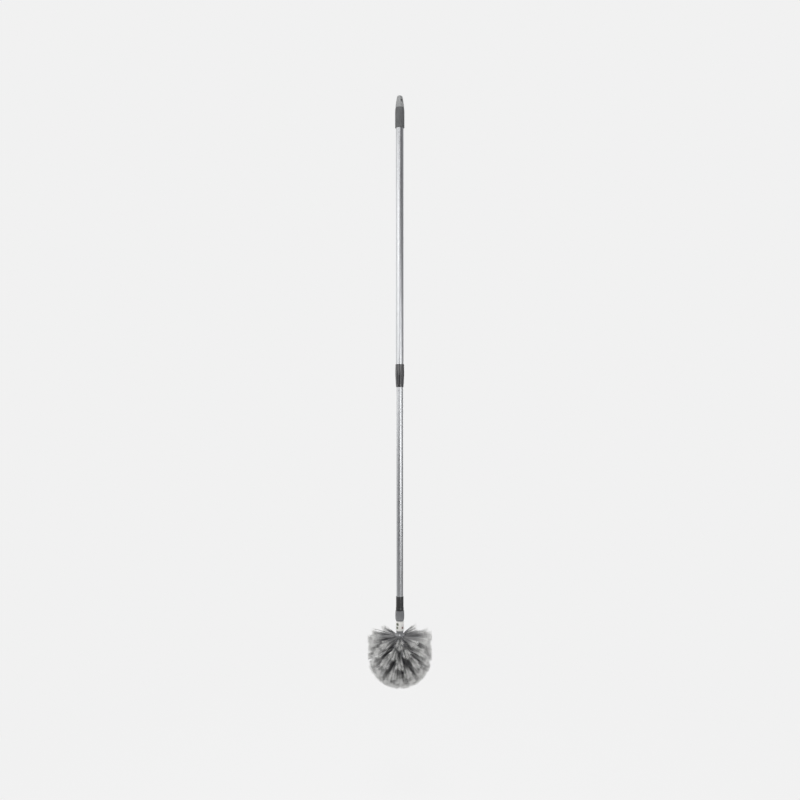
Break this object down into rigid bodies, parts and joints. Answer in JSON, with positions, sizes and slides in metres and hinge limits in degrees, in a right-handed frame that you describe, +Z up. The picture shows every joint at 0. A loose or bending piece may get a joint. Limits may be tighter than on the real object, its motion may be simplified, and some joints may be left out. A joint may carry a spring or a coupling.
{
  "type": "cobweb brush",
  "caption": "Telescopic cobweb brush: a twist-lock steel pole with a hanging eye and grip, and a screw-on domed head of radial bristle tufts.",
  "frame": {"origin": "centre of the hanging hole in the end cap, on the pole's axis", "axes": "+Z up along the pole, away from the bristles; +Y along the hanging hole; X across the end cap's flats"},
  "size_m": [0.186, 0.186, 1.6803],
  "materials": {
    "cap_plastic": "satin",
    "grip_plastic": "matte",
    "tube_steel": "satin",
    "collar_plastic": "gloss",
    "bush_plastic": "satin",
    "sleeve_plastic": "satin",
    "nut_plastic": "satin",
    "spindle_plastic": "satin",
    "spring_steel": "satin",
    "tip_plastic": "satin",
    "core_plastic": "satin",
    "label_film": "satin",
    "anchor_wire": "satin",
    "bristle": "satin"
  },
  "bodies": {
    "outer_pole": {"outer_tube": "tube_steel", "hang_cap": "cap_plastic", "top_grip": "grip_plastic", "joint_collar": "collar_plastic", "guide_bush": "bush_plastic"},
    "lock_sleeve": {"expander_sleeve": "sleeve_plastic"},
    "lock_nut": {"cone_nut": "nut_plastic"},
    "inner_pole": {"inner_tube": "tube_steel", "lock_spindle": "spindle_plastic", "stop_clip": "spring_steel", "thread_tip": "tip_plastic"},
    "brush_head": {"brush_core": "core_plastic", "neck_label": "label_film", "tuft_anchors": "anchor_wire", "tuft_row_1": "bristle", "tuft_row_2": "bristle", "tuft_row_3": "bristle", "tuft_row_4": "bristle", "tuft_row_5": "bristle", "tuft_row_6": "bristle", "tuft_row_7": "bristle", "end_tuft": "bristle"}
  },
  "joints": [
    {"name": "telescope", "type": "slide", "parent": "outer_pole", "child": "lock_sleeve", "axis": [0, 0, 1], "range_m": [0, 0.593]},
    {"name": "twist_lock", "type": "hinge", "parent": "lock_sleeve", "child": "inner_pole", "pos_m": [0, 0, -0.74], "axis": [0, 0, 1], "range_deg": [-360, 0]},
    {"name": "wedge_draw", "type": "slide", "parent": "lock_sleeve", "child": "lock_nut", "axis": [0, 0, 1], "range_m": [0, 0.0025]},
    {"name": "head_off", "type": "slide", "parent": "inner_pole", "child": "brush_head", "axis": [0, 0, 1], "range_m": [-0.035, 0]}
  ],
  "couplings": [
    {"joint": "wedge_draw", "follows": "twist_lock", "m_per_rad": -0.00039789}
  ]
}
